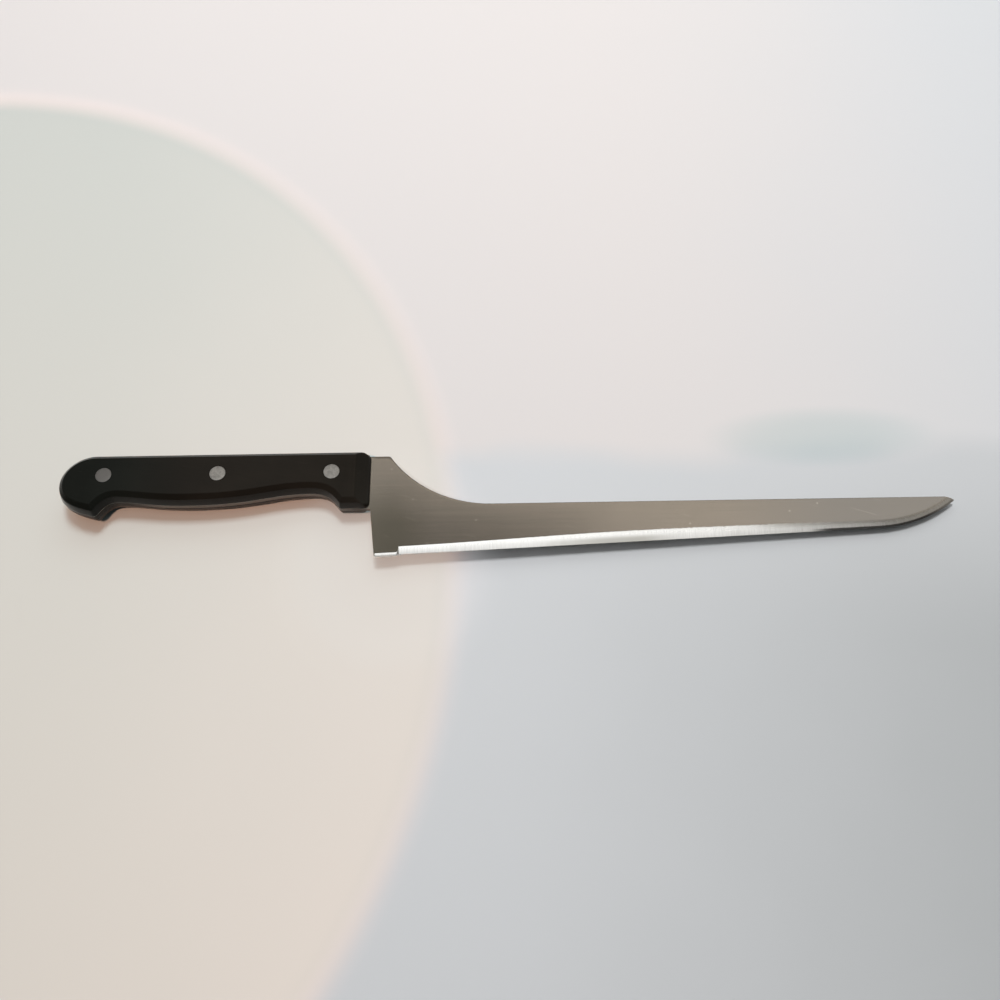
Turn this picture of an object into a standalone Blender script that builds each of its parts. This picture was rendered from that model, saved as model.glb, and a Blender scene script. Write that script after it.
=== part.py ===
"""Fillet knife: one stamped blade with a full tang, two handle scales and three two-piece rivets.

The knife lies on its side. +X runs to the tip, +Y to the spine, and +Z up out of the right scale.
Everything is drawn in the knife's own coordinates: u forward from the handle's front end, v up from
the spine line (so the edge has negative v), and w out from the middle plane of the blade. One empty
carries all the pieces and puts the middle of the knife's length and depth over the world's origin,
with the left scale's flat side at z = 0.
"""

import math

import bmesh
import bpy
import numpy as np

# Steel, in metres
BLADE_LENGTH = 0.2284
BLADE_THICKNESS = 0.0022
TIP_THICKNESS = 0.0012
TAPER_START = 0.0200
HEEL_DEPTH = 0.0430
HEEL_SETBACK = 0.0003
HEEL_RAKE = math.radians(6.3)
HEEL_CORNER_RADIUS = 0.0005
TANG_CORNER_RADIUS = 0.0008
SPINE_DROP = 0.0216
CLIP_END = 0.0475
CLIP_RADIUS = 0.0478
CLIP_CORNER_RADIUS = 0.0012
EDGE_ANGLE = math.radians(2.43)
BELLY_RADIUS = 0.0560
NOSE_RADIUS = 0.0075
NOSE_DROP = 0.0014
POINT_RADIUS = 0.0003

# Ground edge, in metres: the bright bevel starts in front of an unground strip at the heel
GRIND_START = 0.0117
GRIND_HEIGHT_HEEL = 0.0028
GRIND_HEIGHT_MIDDLE = 0.0040
GRIND_HEIGHT_TIP = 0.0030
GRIND_MIDDLE = 0.1000
EDGE_LAND = 0.0002
EDGE_RELIEF = 0.0004
RELIEF_LENGTH = 0.0008
GRIND_OVERRUN = 0.0030

# Handle outline, in metres
HANDLE_LENGTH = 0.1220
HANDLE_RISE = 0.0009
FOOT_DEPTH = 0.0229
FOOT_LENGTH = 0.0114
FOOT_CORNER_RADIUS = 0.0012
FOOT_FLANK = math.radians(52.0)
GROOVE_FORWARD = 0.0235
GROOVE_DEPTH = 0.0162
SWELL_FORWARD = 0.0710
SWELL_DEPTH = 0.0205
ROOT_FORWARD = 0.0990
ROOT_DEPTH = 0.0186
HOOK_FORWARD = 0.1063
HOOK_DEPTH = 0.0248
HOOK_RADIUS = 0.0018
HOOK_INNER = math.radians(62.0)
HOOK_OUTER = math.radians(14.0)
BUTT_DEPTH = 0.0118
BUTT_CORNER = 0.0140
FRONT_RADIUS = 0.0025

# Pulls of the handle's curves at their two ends, as shares of each curve's length along the handle
FINGER_PULLS = (0.35, 0.60)
PALM_PULLS = (0.34, 0.55)
ROOT_PULLS = (0.55, 0.30)
LIP_PULLS = (0.50, 0.30)
HAND_PULLS = (0.50, 0.58)
BUTT_PULLS = (0.46, 0.55)

# Scale section, in metres
SCALE_THICKNESS = 0.0054
SIDE_LAND = 0.0005
DRAFT_INSET = 0.00075
EASE_INSET = 0.0004
EASE_HEIGHT = 0.0006
BEVEL_INSET = 0.0015
BEVEL_HEIGHT = 0.0014
FRONT_SLOPE_LENGTH = 0.0055
FRONT_WALL = 0.0009

# Rivets, in metres
RIVET_FORWARD = 0.0147
RIVET_PITCH = 0.0446
RIVET_DEPTH = 0.0091
RIVET_NAMES = ("front", "middle", "rear")
HEAD_DIAMETER = 0.0062
HEAD_THICKNESS = 0.0012
HEAD_RECESS = 0.00005
SLEEVE_DIAMETER = 0.0042
PIN_DIAMETER = 0.0020
BORE_FLOOR = 0.0012
CLEARANCE = 0.0003

# Smoothness
LEAST_RADIUS = 0.0003
ARC_STEPS = 8
SMOOTH_BELOW = math.radians(30.0)
BLADE_SMOOTH_BELOW = math.radians(6.0)
CURVE_STEPS = 14
CLIP_STEPS = 24
EDGE_STEPS = 30
ROUND_STEPS = 32
CUT_MARGIN = 0.0010
WELD = 0.00001

HEEL_FORWARD = HEEL_SETBACK + (HEEL_DEPTH - FOOT_DEPTH) * math.tan(HEEL_RAKE)
HALF_BLADE = BLADE_THICKNESS / 2
HALF_KNIFE = HALF_BLADE + SCALE_THICKNESS
HEAD_SEAT = HALF_KNIFE - HEAD_RECESS - HEAD_THICKNESS

RIGHT = 1
LEFT = -1


# Outline helpers


def heading(angle):
    """Unit vector that points along an angle measured from +u towards +v."""
    return np.array([math.cos(angle), math.sin(angle)])


def turn(corner, before, after, radius, inset=0.0):
    """Arc that rounds a corner, tangent to the heading before it and to the heading after it.

    An outline runs clockwise, so an inset moves both sides of the corner to their right and takes
    as much from the radius.
    """
    change = (after - before + math.pi) % (2 * math.pi) - math.pi
    right_before, right_after = heading(before - math.pi / 2), heading(after - math.pi / 2)
    corner = np.array(corner) + inset * (right_before + right_after) / (1 + right_before @ right_after)
    radius = max(radius - inset, LEAST_RADIUS)
    reach = radius * math.tan(abs(change) / 2)
    side = math.copysign(math.pi / 2, change)
    centre = corner - reach * heading(before) + radius * heading(before + side)
    angles = before - side + np.linspace(0, change, ARC_STEPS + 1)
    return centre + radius * np.column_stack([np.cos(angles), np.sin(angles)])


def sweep(start, leave, end, arrive, pulls):
    """Cubic curve between two points that leaves and arrives along headings.

    The pulls at its ends are shares of the distance along u between the points.
    """
    start, end = np.array(start), np.array(end)
    length = abs(end[0] - start[0])
    near = start + pulls[0] * length * heading(leave)
    far = end - pulls[1] * length * heading(arrive)
    t = np.linspace(0, 1, CURVE_STEPS + 1)[:, None]
    return (1 - t) ** 3 * start + 3 * (1 - t) ** 2 * t * near + 3 * (1 - t) * t ** 2 * far + t ** 3 * end


def join(*stretches):
    """One closed loop of points from stretches laid end to end."""
    return np.vstack([np.atleast_2d(stretch) for stretch in stretches])


def apart(points):
    """Which points of a closed loop lie apart from the one before them."""
    return np.linalg.norm(points - np.roll(points, 1, axis=0), axis=1) > WELD


# Handle outline: underside from the foot back to the butt, then round to the top


def handle_outline(inset=0.0):
    """The handle's edge behind its front end, from the foot's bottom to the start of its top line."""
    rear = math.pi
    foot = turn((-FOOT_LENGTH, -FOOT_DEPTH), rear, rear - FOOT_FLANK, FOOT_CORNER_RADIUS, inset)
    groove = (-GROOVE_FORWARD, inset - GROOVE_DEPTH)
    swell = (-SWELL_FORWARD, inset - SWELL_DEPTH)
    root = (-ROOT_FORWARD, inset - ROOT_DEPTH)
    hook = turn((-HOOK_FORWARD, -HOOK_DEPTH), rear + HOOK_INNER, rear - HOOK_OUTER, HOOK_RADIUS, inset)
    butt = (inset - HANDLE_LENGTH, -BUTT_DEPTH)
    top = (BUTT_CORNER - HANDLE_LENGTH, HANDLE_RISE - inset)
    return [
        foot,
        sweep(foot[-1], rear - FOOT_FLANK, groove, rear, FINGER_PULLS),
        sweep(groove, rear, swell, rear, PALM_PULLS),
        sweep(swell, rear, root, rear, ROOT_PULLS),
        sweep(root, rear, hook[0], rear + HOOK_INNER, LIP_PULLS),
        hook,
        sweep(hook[-1], rear - HOOK_OUTER, butt, math.pi / 2, HAND_PULLS),
        sweep(butt, math.pi / 2, top, 0, BUTT_PULLS),
    ]


def front_corner(inset=0.0):
    """The handle's rounded upper front corner."""
    return turn((0, HANDLE_RISE), 0, -math.pi / 2, FRONT_RADIUS, inset)


def scale_outline(inset=0.0):
    """Outline of a scale, drawn in by an inset, with its two front corners rounded."""
    return join(
        front_corner(inset),
        turn((0, -FOOT_DEPTH), -math.pi / 2, -math.pi, FRONT_RADIUS, inset),
        *handle_outline(inset),
    )


# Blade outline and its ground edge


def edge_line(u):
    """Height of the straight part of the cutting edge at u."""
    return EDGE_RELIEF - HEEL_DEPTH + (u - HEEL_FORWARD) * math.tan(EDGE_ANGLE)


def cutting_edge():
    """Points and directions along the cutting edge from the grind's start to the tip.

    A straight line, then an arc tangent to it that ends at the tip.
    """
    tip = np.array([BLADE_LENGTH, -SPINE_DROP - NOSE_DROP])
    along = heading(EDGE_ANGLE)
    inward = heading(EDGE_ANGLE + math.pi / 2)
    start = np.array([GRIND_START, edge_line(GRIND_START)])
    height = (tip - start) @ inward
    swing = math.acos(1 - height / BELLY_RADIUS)
    straight = (tip - start) @ along - BELLY_RADIUS * math.sin(swing)
    run = np.linspace(0, straight, EDGE_STEPS, endpoint=False)[:, None]
    arc = np.linspace(0, swing, EDGE_STEPS + 1)[:, None]
    line = start + run * along
    belly = line[0] + straight * along + BELLY_RADIUS * (np.sin(arc) * along + (1 - np.cos(arc)) * inward)
    points = np.vstack([line, belly])
    angles = EDGE_ANGLE + np.concatenate([np.zeros(len(line)), arc[:, 0]])
    return points, angles


def blade_outline():
    """Outline of the steel: shoulder, spine, clip, nose, cutting edge, unground heel strip, heel and tang.

    The tang follows the handle's upper front corner down to the spine line, which makes its shoulder.
    """
    corner = front_corner()
    shoulder_end = math.sqrt(FRONT_RADIUS ** 2 - (FRONT_RADIUS - HANDLE_RISE) ** 2) - FRONT_RADIUS
    clip_angle = math.acos(1 - SPINE_DROP / CLIP_RADIUS)
    clip_start = CLIP_END - CLIP_RADIUS * math.sin(clip_angle)
    clip_corner = turn((clip_start, 0), 0, -clip_angle, CLIP_CORNER_RADIUS)
    eased = clip_angle - CLIP_CORNER_RADIUS * math.tan(clip_angle / 2) / CLIP_RADIUS
    sweep_angle = np.linspace(-eased, 0, CLIP_STEPS)
    clip_centre = np.array([CLIP_END, CLIP_RADIUS - SPINE_DROP])
    clip = clip_centre + CLIP_RADIUS * np.column_stack([np.sin(sweep_angle), -np.cos(sweep_angle)])

    nose_angle = math.acos(1 - NOSE_DROP / NOSE_RADIUS)
    nose_turn = np.linspace(0, nose_angle, ARC_STEPS)
    nose_centre = np.array([BLADE_LENGTH - NOSE_RADIUS * math.sin(nose_angle), -SPINE_DROP - NOSE_RADIUS])
    nose = nose_centre + NOSE_RADIUS * np.column_stack([np.sin(nose_turn), np.cos(nose_turn)])

    edge, angles = cutting_edge()
    tip = turn(edge[-1], -nose_angle, angles[-1] - math.pi, POINT_RADIUS)
    strip_end = GRIND_START - RELIEF_LENGTH
    heel_up = math.pi / 2 + HEEL_RAKE
    outline = join(
        corner[corner[:, 1] > 0],
        (shoulder_end, 0),
        clip_corner,
        clip,
        nose[:-1],
        tip,
        edge[-2::-1],
        (strip_end, edge_line(strip_end) - EDGE_RELIEF),
        turn((HEEL_FORWARD, -HEEL_DEPTH), EDGE_ANGLE - math.pi, heel_up, HEEL_CORNER_RADIUS),
        turn((HEEL_SETBACK, -FOOT_DEPTH), heel_up, math.pi, TANG_CORNER_RADIUS),
        *handle_outline(),
    )
    return outline[apart(outline)]


def thickness_at(u):
    """Thickness of the steel at u: even through the tang and the heel, then tapering to the tip."""
    share = np.clip((u - TAPER_START) / (BLADE_LENGTH - TAPER_START), 0, None)
    return BLADE_THICKNESS + (TIP_THICKNESS - BLADE_THICKNESS) * share


def grind_height_at(u):
    """Height of the ground bevel at u: it swells smoothly from the heel to the middle, then falls."""
    past_middle = u > GRIND_MIDDLE
    end = BLADE_LENGTH if past_middle else GRIND_START
    low = GRIND_HEIGHT_TIP if past_middle else GRIND_HEIGHT_HEEL
    share = min((u - end) / (GRIND_MIDDLE - end), 1)
    return low + (GRIND_HEIGHT_MIDDLE - low) * (1 - math.cos(math.pi * max(share, 0))) / 2


# Blender helpers


def clear_scene():
    """Remove every object, so that the knife starts from an empty scene."""
    for thing in list(bpy.data.objects):
        bpy.data.objects.remove(thing, do_unlink=True)


def new_collection(name):
    """Collection of that name, linked to the scene."""
    collection = bpy.data.collections.new(name)
    bpy.context.scene.collection.children.link(collection)
    return collection


def new_material(name, colour, metallic, roughness):
    """Principled material with one colour."""
    material = bpy.data.materials.new(name)
    material.use_nodes = True
    shader = material.node_tree.nodes["Principled BSDF"]
    shader.inputs["Base Color"].default_value = (*colour, 1)
    shader.inputs["Metallic"].default_value = metallic
    shader.inputs["Roughness"].default_value = roughness
    return material


def add_piece(name, mesh, material, location=(0, 0, 0)):
    """Object in the knife's collection, carried by the empty."""
    piece = bpy.data.objects.new(name, mesh)
    mesh.materials.append(material)
    piece.location = location
    piece.parent = carrier
    knife.objects.link(piece)
    return piece


def add_cutter(name, mesh, location=(0, 0, 0)):
    """Object that only cuts others: drawn as wire and left out of renders."""
    cutter = bpy.data.objects.new(name, mesh)
    cutter.location = location
    cutter.parent = carrier
    cutter.display_type = "WIRE"
    cutter.hide_render = True
    cutters.objects.link(cutter)
    return cutter


def cut(piece, cutter):
    """Take the cutter's volume away from the piece."""
    modifier = piece.modifiers.new(cutter.name, "BOOLEAN")
    modifier.operation = "DIFFERENCE"
    modifier.solver = "EXACT"
    modifier.object = cutter


def settle(piece, smooth_below):
    """Keep the piece as its modifiers leave it, shaded smooth where its faces turn less than an angle."""
    depsgraph = bpy.context.evaluated_depsgraph_get()
    mesh = bpy.data.meshes.new_from_object(piece.evaluated_get(depsgraph))
    piece.modifiers.clear()
    piece.data = mesh
    mesh.name = piece.name
    mesh.shade_smooth()
    mesh.set_sharp_from_angle(angle=smooth_below)


def plate_mesh(name, outline, half_thickness):
    """Flat plate: a filled 2D curve with an extrude, turned into a welded mesh with whole faces."""
    curve = bpy.data.curves.new(name, "CURVE")
    curve.dimensions = "2D"
    curve.fill_mode = "BOTH"
    curve.extrude = half_thickness
    spline = curve.splines.new("POLY")
    spline.points.add(len(outline) - 1)
    flat = np.column_stack([outline, np.zeros(len(outline)), np.ones(len(outline))])
    spline.points.foreach_set("co", flat.ravel())
    spline.use_cyclic_u = True
    drawn = bpy.data.objects.new(name, curve)
    bpy.context.scene.collection.objects.link(drawn)
    depsgraph = bpy.context.evaluated_depsgraph_get()
    mesh = bpy.data.meshes.new_from_object(drawn.evaluated_get(depsgraph))
    bpy.data.objects.remove(drawn, do_unlink=True)
    bm = bmesh.new()
    bm.from_mesh(mesh)
    bmesh.ops.remove_doubles(bm, verts=bm.verts, dist=WELD)
    for side in (RIGHT, LEFT):
        ends = [face for face in bm.faces if round(face.normal.z) == side]
        bmesh.ops.dissolve_faces(bm, faces=ends)
    bmesh.ops.recalc_face_normals(bm, faces=bm.faces)
    bm.to_mesh(mesh)
    bm.free()
    mesh.name = name
    return mesh


def turned(name, profile):
    """Turned solid: (radius, height) points from the top of its axis to the bottom, spun round it."""
    mesh = bpy.data.meshes.new(name)
    points = [(radius, 0, height) for radius, height in profile]
    mesh.from_pydata(points, [(i, i + 1) for i in range(len(points) - 1)], [])
    drawn = bpy.data.objects.new(name, mesh)
    bpy.context.scene.collection.objects.link(drawn)
    screw = drawn.modifiers.new("turn", "SCREW")
    screw.steps = ROUND_STEPS
    screw.render_steps = ROUND_STEPS
    screw.use_merge_vertices = True
    screw.merge_threshold = WELD
    depsgraph = bpy.context.evaluated_depsgraph_get()
    solid = bpy.data.meshes.new_from_object(drawn.evaluated_get(depsgraph))
    bpy.data.objects.remove(drawn, do_unlink=True)
    solid.shade_smooth()
    solid.set_sharp_from_angle(angle=SMOOTH_BELOW)
    return solid


def loft(name, rings):
    """Closed solid through rings of equally many points, each ring a closed loop in space."""
    bm = bmesh.new()
    loops = [[bm.verts.new(point) for point in ring] for ring in rings]
    for loop in loops:
        for this, following in zip(loop, loop[1:] + loop[:1]):
            bm.edges.new((this, following))
    for lower, upper in zip(loops, loops[1:]):
        sides = [edge for edge in bm.edges if edge.verts[0] in lower and edge.verts[1] in lower]
        sides += [edge for edge in bm.edges if edge.verts[0] in upper and edge.verts[1] in upper]
        bmesh.ops.bridge_loops(bm, edges=sides)
    bm.faces.new(loops[0])
    bm.faces.new(loops[-1])
    bmesh.ops.recalc_face_normals(bm, faces=bm.faces)
    mesh = bpy.data.meshes.new(name)
    bm.to_mesh(mesh)
    bm.free()
    return mesh


# The pieces


def make_blade(material):
    """Blade and tang, stamped from one sheet, tapered towards the tip and ground along the edge."""
    mesh = plate_mesh("blade", blade_outline(), HALF_BLADE)
    bm = bmesh.new()
    bm.from_mesh(mesh)
    everything = bm.verts[:] + bm.edges[:] + bm.faces[:]
    bmesh.ops.bisect_plane(bm, geom=everything, plane_co=(TAPER_START, 0, 0), plane_no=(1, 0, 0))
    for vert in bm.verts:
        vert.co.z *= thickness_at(vert.co.x) / BLADE_THICKNESS
    bm.to_mesh(mesh)
    bm.free()
    blade = add_piece("blade", mesh, material)
    for side, name in ((RIGHT, "right"), (LEFT, "left")):
        cut(blade, add_cutter(name + "_grind", grind_wedge(side)))
    return blade


def grind_wedge(side):
    """Wedge that grinds one side of the edge: a triangle carried along the cutting edge.

    Each triangle's long side is the bevel's plane. It crosses the blade's face at the bevel's height
    and leaves half of the edge's land, and it runs past both by a margin.
    """
    points, angles = cutting_edge()
    beyond = points[-1] + GRIND_OVERRUN * heading(angles[-1])
    rings = []
    for point, angle in zip(np.vstack([points, beyond]), np.append(angles, angles[-1])):
        inward = heading(angle + math.pi / 2)
        height = grind_height_at(point[0])
        face = thickness_at(point[0]) / 2
        slope = (face - EDGE_LAND / 2) / height
        above = face + slope * CUT_MARGIN
        below = EDGE_LAND / 2 * (1 - slope)
        inner = point + inward * (height + CUT_MARGIN)
        outer = point - inward * EDGE_LAND / 2
        rings.append([(*inner, side * above), (*outer, side * below), (*outer, side * above)])
    return loft("grind", rings)


def make_scale(name, side, material):
    """One handle scale, lofted from the tang's face out to its flat side.

    A low square land, a drafted wall, an eased corner and a bevel lead to the flat side. The front
    end is then sliced to a slope that ends in a low wall. The left scale mirrors the right one.
    """
    wall_top = SCALE_THICKNESS - EASE_HEIGHT - BEVEL_HEIGHT
    eased = DRAFT_INSET + EASE_INSET
    section = [
        (0.0, 0.0),
        (0.0, SIDE_LAND),
        (DRAFT_INSET, wall_top),
        (eased, wall_top + EASE_HEIGHT),
        (eased + BEVEL_INSET, SCALE_THICKNESS),
    ]
    keep = apart(scale_outline())
    rings = []
    for inset, rise in section:
        outline = scale_outline(inset)[keep]
        height = np.full((len(outline), 1), side * (HALF_BLADE + rise))
        rings.append(np.hstack([outline, height]))
    mesh = loft(name, rings)
    bm = bmesh.new()
    bm.from_mesh(mesh)
    sliced = bmesh.ops.bisect_plane(
        bm,
        geom=bm.verts[:] + bm.edges[:] + bm.faces[:],
        plane_co=(0, 0, side * (HALF_BLADE + FRONT_WALL)),
        plane_no=(SCALE_THICKNESS - FRONT_WALL, 0, side * FRONT_SLOPE_LENGTH),
        clear_outer=True,
    )
    rim = [item for item in sliced["geom_cut"] if isinstance(item, bmesh.types.BMEdge)]
    bmesh.ops.edgenet_fill(bm, edges=rim)
    bmesh.ops.recalc_face_normals(bm, faces=bm.faces)
    bm.to_mesh(mesh)
    bm.free()
    return add_piece(name, mesh, material)


def rivet_cutter(name, location):
    """Hole for a rivet right through the handle, with a counterbore in each scale for its heads."""
    head = HEAD_DIAMETER / 2 + CLEARANCE
    shank = SLEEVE_DIAMETER / 2 + CLEARANCE
    top = HALF_KNIFE + CUT_MARGIN
    profile = [(0, top), (head, top), (head, HEAD_SEAT), (shank, HEAD_SEAT)]
    mirrored = [(radius, -height) for radius, height in reversed(profile)]
    return add_cutter(name, turned(name, profile + mirrored), location)


def make_rivet(name, location, material):
    """Two-piece rivet: a headed sleeve from the left, and a headed post whose pin fills its bore."""
    head = HEAD_DIAMETER / 2
    sleeve = SLEEVE_DIAMETER / 2
    pin = PIN_DIAMETER / 2
    bore = pin + CLEARANCE
    outer_end = HEAD_SEAT + HEAD_THICKNESS
    sleeve_end = HEAD_SEAT - CLEARANCE
    bore_end = BORE_FLOOR - outer_end
    pin_end = bore_end + CLEARANCE
    post_profile = [(0, outer_end), (head, outer_end), (head, HEAD_SEAT), (pin, HEAD_SEAT)]
    post_profile += [(pin, pin_end), (0, pin_end)]
    sleeve_profile = [(0, bore_end), (bore, bore_end), (bore, sleeve_end), (sleeve, sleeve_end)]
    sleeve_profile += [(sleeve, -HEAD_SEAT), (head, -HEAD_SEAT), (head, -outer_end), (0, -outer_end)]
    add_piece(name + "_post", turned(name + "_post", post_profile), material, location)
    add_piece(name + "_sleeve", turned(name + "_sleeve", sleeve_profile), material, location)


clear_scene()
knife = new_collection("fillet_knife")
cutters = new_collection("cutters")

outlines = np.vstack([blade_outline(), scale_outline()])
middle = (outlines.min(axis=0) + outlines.max(axis=0)) / 2
carrier = bpy.data.objects.new("handle_front", None)
carrier.location = (-middle[0], -middle[1], HALF_KNIFE)
knife.objects.link(carrier)

blade_steel = new_material("blade_steel", (0.33, 0.32, 0.30), 1.0, 0.32)
scale_plastic = new_material("scale_plastic", (0.018, 0.018, 0.017), 0.0, 0.38)
rivet_metal = new_material("rivet_metal", (0.40, 0.39, 0.37), 1.0, 0.45)

blade = make_blade(blade_steel)
right_scale = make_scale("right_scale", RIGHT, scale_plastic)
left_scale = make_scale("left_scale", LEFT, scale_plastic)
for number, name in enumerate(RIVET_NAMES):
    place = (-RIVET_FORWARD - number * RIVET_PITCH, -RIVET_DEPTH, 0)
    hole = rivet_cutter(name + "_rivet_hole", place)
    for piece in (blade, right_scale, left_scale):
        cut(piece, hole)
    make_rivet(name + "_rivet", place, rivet_metal)
settle(blade, BLADE_SMOOTH_BELOW)
settle(right_scale, SMOOTH_BELOW)
settle(left_scale, SMOOTH_BELOW)
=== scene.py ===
"""Looks of a fillet knife: bright-ground steel, black moulded scales and grey rivets on pale paper."""

import math

import bmesh
import bpy
import numpy as np
from mathutils import Matrix, Vector


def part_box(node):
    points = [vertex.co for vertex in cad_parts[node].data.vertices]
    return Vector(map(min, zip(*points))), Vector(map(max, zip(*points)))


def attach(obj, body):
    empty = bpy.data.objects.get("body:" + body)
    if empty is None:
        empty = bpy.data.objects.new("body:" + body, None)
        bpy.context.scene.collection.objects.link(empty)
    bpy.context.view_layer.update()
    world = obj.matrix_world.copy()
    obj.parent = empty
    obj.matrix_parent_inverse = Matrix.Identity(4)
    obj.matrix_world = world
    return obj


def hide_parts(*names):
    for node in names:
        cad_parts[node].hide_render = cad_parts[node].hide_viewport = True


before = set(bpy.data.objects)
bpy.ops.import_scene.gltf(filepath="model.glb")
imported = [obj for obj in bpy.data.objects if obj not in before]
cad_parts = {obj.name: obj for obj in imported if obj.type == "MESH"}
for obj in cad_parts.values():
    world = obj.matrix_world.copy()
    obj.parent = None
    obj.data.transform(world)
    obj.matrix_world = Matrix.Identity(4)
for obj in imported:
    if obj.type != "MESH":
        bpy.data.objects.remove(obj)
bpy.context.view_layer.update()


# Blade and tang
#
# One piece of stainless steel, stamped to shape, tapered towards the tip and brushed lengthwise. Its
# edge is ground bright on both sides, but for a strip at the heel that is only chamfered. The tang has
# the handle's outline, shows as a steel line between the scales and is bored for the rivets.

blade_low, blade_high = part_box("blade")
scale_low, scale_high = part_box("right_scale")
FRONT = scale_high.x
HANDLE_RISE = 0.0009
SPINE = scale_high.y - HANDLE_RISE
MIDDLE = (blade_low.z + blade_high.z) / 2

# Outlines are drawn in u, forward from the handle's front end, and v, up from the spine, in metres.
HANDLE_LENGTH = scale_high.x - scale_low.x
FOOT_DEPTH = 0.0229
FOOT_LENGTH = 0.0114
FOOT_CORNER_RADIUS = 0.0012
FOOT_FLANK = math.radians(52.0)
GROOVE_FORWARD = 0.0235
GROOVE_DEPTH = 0.0162
SWELL_FORWARD = 0.0710
SWELL_DEPTH = 0.0205
ROOT_FORWARD = 0.0990
ROOT_DEPTH = 0.0186
HOOK_FORWARD = 0.1063
HOOK_DEPTH = 0.0248
HOOK_RADIUS = 0.0018
HOOK_INNER = math.radians(62.0)
HOOK_OUTER = math.radians(14.0)
BUTT_DEPTH = 0.0118
BUTT_CORNER = 0.0140
FRONT_RADIUS = 0.0025
FINGER_PULLS = (0.35, 0.60)
PALM_PULLS = (0.34, 0.55)
ROOT_PULLS = (0.55, 0.30)
LIP_PULLS = (0.50, 0.30)
HAND_PULLS = (0.50, 0.58)
BUTT_PULLS = (0.46, 0.55)
LEAST_RADIUS = 0.0003
REARWARD = math.pi


def heading(angle):
    """Unit vector that points along an angle measured from forward towards up."""
    return np.array([math.cos(angle), math.sin(angle)])


def turn(corner, before, after, radius, inset=0.0, steps=12):
    """Arc round a corner, tangent to the headings before and after it.

    The outline runs clockwise, so an inset moves both sides to their right and shortens the radius.
    """
    change = (after - before + math.pi) % (2 * math.pi) - math.pi
    right_before, right_after = heading(before - math.pi / 2), heading(after - math.pi / 2)
    corner = np.array(corner) + inset * (right_before + right_after) / (1 + right_before @ right_after)
    radius = max(radius - inset, LEAST_RADIUS)
    side = math.copysign(math.pi / 2, change)
    reach = radius * math.tan(abs(change) / 2)
    centre = corner - reach * heading(before) + radius * heading(before + side)
    angles = before - side + np.linspace(0, change, steps + 1)
    return centre + radius * np.column_stack([np.cos(angles), np.sin(angles)])


def sweep(start, leave, end, arrive, pulls, steps=40):
    """Cubic Bezier curve that leaves and arrives along headings, pulled by shares of its length."""
    start, end = np.array(start), np.array(end)
    length = abs(end[0] - start[0])
    near = start + pulls[0] * length * heading(leave)
    far = end - pulls[1] * length * heading(arrive)
    t = np.linspace(0, 1, steps + 1)[:, None]
    return (1 - t) ** 3 * start + 3 * (1 - t) ** 2 * t * near + 3 * (1 - t) * t ** 2 * far + t ** 3 * end


def straight(start, end, steps):
    """Evenly spaced points on a line, without its last one."""
    return np.linspace(start, end, steps, endpoint=False)


def handle_under(inset):
    """Underside of the handle, drawn in by an inset, from the foot's corner back to the rearmost point."""
    foot = turn((-FOOT_LENGTH, -FOOT_DEPTH), REARWARD, REARWARD - FOOT_FLANK, FOOT_CORNER_RADIUS, inset)
    groove = (-GROOVE_FORWARD, inset - GROOVE_DEPTH)
    swell = (-SWELL_FORWARD, inset - SWELL_DEPTH)
    root = (-ROOT_FORWARD, inset - ROOT_DEPTH)
    hook = turn(
        (-HOOK_FORWARD, -HOOK_DEPTH), REARWARD + HOOK_INNER, REARWARD - HOOK_OUTER, HOOK_RADIUS, inset
    )
    butt = (inset - HANDLE_LENGTH, -BUTT_DEPTH)
    return np.vstack([
        foot,
        sweep(foot[-1], REARWARD - FOOT_FLANK, groove, REARWARD, FINGER_PULLS)[1:],
        sweep(groove, REARWARD, swell, REARWARD, PALM_PULLS)[1:],
        sweep(swell, REARWARD, root, REARWARD, ROOT_PULLS)[1:],
        sweep(root, REARWARD, hook[0], REARWARD + HOOK_INNER, LIP_PULLS)[1:],
        hook[1:],
        sweep(hook[-1], REARWARD - HOOK_OUTER, butt, math.pi / 2, HAND_PULLS)[1:],
    ])


def butt_top(inset):
    """Top of the butt, drawn in by an inset, from the rearmost point up to the straight top line."""
    butt = (inset - HANDLE_LENGTH, -BUTT_DEPTH)
    return sweep(butt, math.pi / 2, (BUTT_CORNER - HANDLE_LENGTH, HANDLE_RISE - inset), 0, BUTT_PULLS)


def front_corner(inset):
    """Rounded upper front corner of the handle, drawn in by an inset."""
    return turn((0, HANDLE_RISE), 0, -math.pi / 2, FRONT_RADIUS, inset)


BLADE_THICKNESS = blade_high.z - blade_low.z
TIP_THICKNESS = 0.0012
TAPER_START = 0.0200
POINT_TRIM = 0.0002
BLADE_LENGTH = blade_high.x - FRONT + POINT_TRIM
POINT_RADIUS = 0.0003
SPINE_DROP = 0.0216
NOSE_DROP = 0.0014
NOSE_RADIUS = 0.0075
CLIP_END = 0.0475
CLIP_RADIUS = 0.0478
CLIP_CORNER_RADIUS = 0.0012
HEEL_DEPTH = SPINE - blade_low.y
HEEL_SETBACK = 0.0003
HEEL_RAKE = math.radians(6.3)
HEEL_FORWARD = HEEL_SETBACK + (HEEL_DEPTH - FOOT_DEPTH) * math.tan(HEEL_RAKE)
HEEL_CORNER_RADIUS = 0.0005
TANG_CORNER_RADIUS = 0.0008
EDGE_ANGLE = math.radians(2.43)
EDGE_RELIEF = 0.0004
RELIEF_LENGTH = 0.0008
BELLY_RADIUS = 0.0560
GRIND_START = 0.0117
GRIND_PLUNGE = 0.0005
GRIND_HEIGHT_HEEL = 0.0030
GRIND_HEIGHT_MIDDLE = 0.0043
GRIND_HEIGHT_TIP = 0.0030
GRIND_MIDDLE = 0.1000
GRIND_SOFTNESS = 0.00002
GRIND_SWELL = 1.15
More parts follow.
